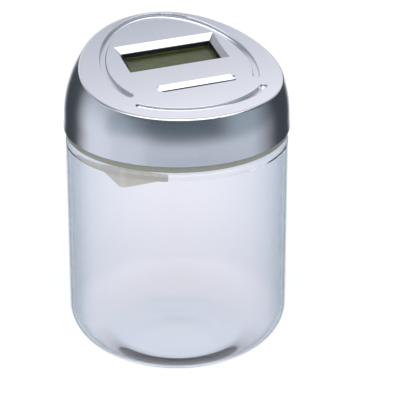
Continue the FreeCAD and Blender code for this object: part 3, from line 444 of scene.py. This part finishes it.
class Patches(Nodes):
    """The light that a studio's boxes, table and dark room give, by direction."""

    LEAST_FADE = 0.1  # degrees; a range of no height would divide by zero

    def __init__(self, material):
        super().__init__(material.node_tree)
        unit = self.node("VectorMath", operation="NORMALIZE")
        self.link(self.place(), unit.inputs[0])
        parts = self.node("SeparateXYZ")
        self.link(unit.outputs[0], parts.inputs[0])
        x, y, z = parts.outputs
        self.azimuth = self.maths("DEGREES", self.maths("ARCTAN2", x, self.maths("MULTIPLY", y, -1.0)))
        self.elevation = self.maths("DEGREES", self.maths("ARCSINE", z))
        self.total = None

    def window(self, value, middle, half, soft):
        """1 within half of middle, falling to 0 over the soft degrees around that edge."""
        away = self.maths("ABSOLUTE", self.maths("SUBTRACT", value, middle))
        return self.spread(away, 1.0, 0.0, half - soft / 2, half + soft / 2)

    def turned(self, middle):
        """Azimuth from middle, wrapped to -180 to 180."""
        return self.maths("WRAP", self.maths("SUBTRACT", self.azimuth, middle), 180.0, -180.0)

    def shade(self, colour, top_colour, low, high):
        """Colour under elevation low, top_colour above high."""
        rise, total = self.node("VectorMath", operation="SCALE"), self.node("VectorMath", operation="ADD")
        rise.inputs[0].default_value = [b - a for a, b in zip(colour, top_colour)]
        self.link(self.spread(self.elevation, 0.0, 1.0, low, high), rise.inputs["Scale"])
        self.link(rise.outputs[0], total.inputs[0])
        total.inputs[1].default_value = colour
        return total.outputs[0]

    def add(self, azimuth, half_width, low, high, colour, soft=12.0, soft_height=10.0,
            top_colour=None, fade=0.0):
        """A soft-edged patch of light; angles are in degrees.

        Azimuth is counted from the camera, and low and high are elevations. Over its last fade degrees
        under high it turns to top_colour. Where patches overlap, the brighter one shows."""
        across = self.window(self.turned(azimuth + CAMERA_AZIMUTH), 0.0, half_width, soft)
        upright = self.window(self.elevation, (low + high) / 2, (high - low) / 2, soft_height)
        amount = self.maths("MULTIPLY", across, upright)
        glow = self.node("VectorMath", operation="SCALE")
        tint = self.shade(colour, top_colour or colour, high - fade - self.LEAST_FADE, high)
        self.link(tint, glow.inputs[0])
        self.link(amount, glow.inputs["Scale"])
        if self.total is None:
            self.total = glow.outputs[0]
            return
        merged = self.node("VectorMath", operation="MAXIMUM")
        self.link(self.total, merged.inputs[0])
        self.link(glow.outputs[0], merged.inputs[1])
        self.total = merged.outputs[0]

    def finish(self):
        glow = self.node("Emission")
        self.link(self.total, glow.inputs["Color"])
        output = self.node("OutputMaterial")
        self.link(glow.outputs[0], output.inputs["Surface"])


def add_dome():
    """What the gloss of the lid and jar mirrors: soft boxes, a white table and a dark room between them."""
    mesh = bpy.data.meshes.new("studio_dome")
    bm = bmesh.new()
    bmesh.ops.create_uvsphere(bm, u_segments=STUDIO_SEGMENTS, v_segments=STUDIO_SEGMENTS // 2,
                              radius=DOME_RADIUS)
    bm.to_mesh(mesh)
    bm.free()
    material = bpy.data.materials.new("studio_glow")
    material.use_nodes = True
    p = Patches(material)
    # the dark room and the wall of light behind
    p.add(0, 180, -91, 91, ROOM_DARK)
    p.add(190, 60, 14, 75, BACK_WALL, soft=50, soft_height=12, top_colour=BACK_WALL_TOP, fade=48)
    p.add(190, 60, 70, 91, BACK_WALL_TOP, soft=50)
    # the big box over the front, and its right wing
    p.add(0, 70, 26, 91, SOFT_BOX, soft=25, soft_height=8)
    p.add(85, 32, 45, 80, SOFT_BOX, soft=14)
    # what the white table throws back, brighter towards the left, with haze over its edge
    p.add(-84, 26, -62, -6, TABLE_LEFT, soft=24, soft_height=12)
    p.add(-50, 36, -62, -4, TABLE_MIDDLE, soft=44, soft_height=14)
    p.add(8, 94, -62, -8, TABLE_RIGHT, soft=40, soft_height=14)
    p.add(5, 98, -62, 14, HAZE, soft=20, top_colour=HAZE_TOP, fade=18)
    p.add(180, 22, -62, -8, TABLE_BACK, soft=10)
    # low boxes at the left and right
    p.add(-88, 22, -30, 9, LEFT_GLOW, soft=24, soft_height=8, top_colour=LEFT_GLOW_TOP, fade=18)
    p.add(-66, 34, -30, 13, LEFT_DUSK, soft=44, top_colour=LEFT_DUSK_TOP, fade=14)
    p.add(-84, 20, 12, 19, LOW_BOX, soft=16, soft_height=4)
    p.add(72, 28, -20, 14, RIGHT_DUSK, soft=36, soft_height=8)
    p.finish()
    dome = add_stage("studio_dome", mesh, material)
    dome.location.z = DOME_HEIGHT
    dome.visible_camera = dome.visible_diffuse = dome.visible_transmission = False
    dome.visible_shadow = dome.visible_volume_scatter = False


def add_world():
    """White light from all sides, a little greyer from above; gloss mirrors the dome instead."""
    world = bpy.data.worlds.new("studio")
    world.use_nodes = True
    w = Nodes(world.node_tree)
    parts, glow, output = w.node("SeparateXYZ"), w.node("Background"), w.node("OutputWorld")
    w.link(w.node("TexCoord").outputs["Generated"], parts.inputs[0])
    w.link(w.blend(parts.outputs["Z"], WORLD_LOW, WORLD_HIGH, 0.0, WORLD_TURN), glow.inputs["Color"])
    w.link(glow.outputs[0], output.inputs["Surface"])
    glow.inputs["Strength"].default_value = WORLD_STRENGTH
    world.cycles_visibility.glossy = False
    scene.world = world


def add_light(name, azimuth, elevation, distance, size, power):
    """A soft lamp that only lights matt surfaces; azimuth is counted from the camera."""
    lamp = bpy.data.lights.new(name, "AREA")
    lamp.shape = "RECTANGLE"
    lamp.size, lamp.size_y = size
    lamp.energy = power
    obj = bpy.data.objects.new(name, lamp)
    toward = direction(azimuth + CAMERA_AZIMUTH, elevation)
    obj.location = LAMP_AIM + toward * distance
    obj.rotation_mode = "QUATERNION"
    obj.rotation_quaternion = toward.to_track_quat("Z", "Y")
    obj.visible_glossy = obj.visible_camera = obj.visible_transmission = False
    scene.collection.objects.link(obj)


def add_camera():
    """It aims a little right of the jar's axis, so that the jar stands left of the middle."""
    camera = bpy.data.cameras.new("camera")
    camera.lens, camera.sensor_width = CAMERA_LENS, CAMERA_SENSOR
    obj = bpy.data.objects.new("camera", camera)
    target = Vector((0, 0, CAMERA_TARGET))
    obj.location = target + direction(CAMERA_AZIMUTH, CAMERA_ELEVATION) * CAMERA_DISTANCE
    aim = target + direction(CAMERA_AZIMUTH + 90, 0) * CAMERA_ASIDE
    obj.rotation_mode = "QUATERNION"
    obj.rotation_quaternion = (obj.location - aim).to_track_quat("Z", "Y")
    camera.clip_start, camera.clip_end = CAMERA_NEAR, CAMERA_FAR
    scene.collection.objects.link(obj)
    scene.camera = obj


finish_cad_nodes()
add_spring_travel()
add_jar()
add_floor()
add_dome()
add_world()
add_light("front_high", azimuth=0, elevation=55, distance=1.8, size=(1.2, 0.8), power=6)
add_camera()
scene.view_settings.view_transform = "Standard"
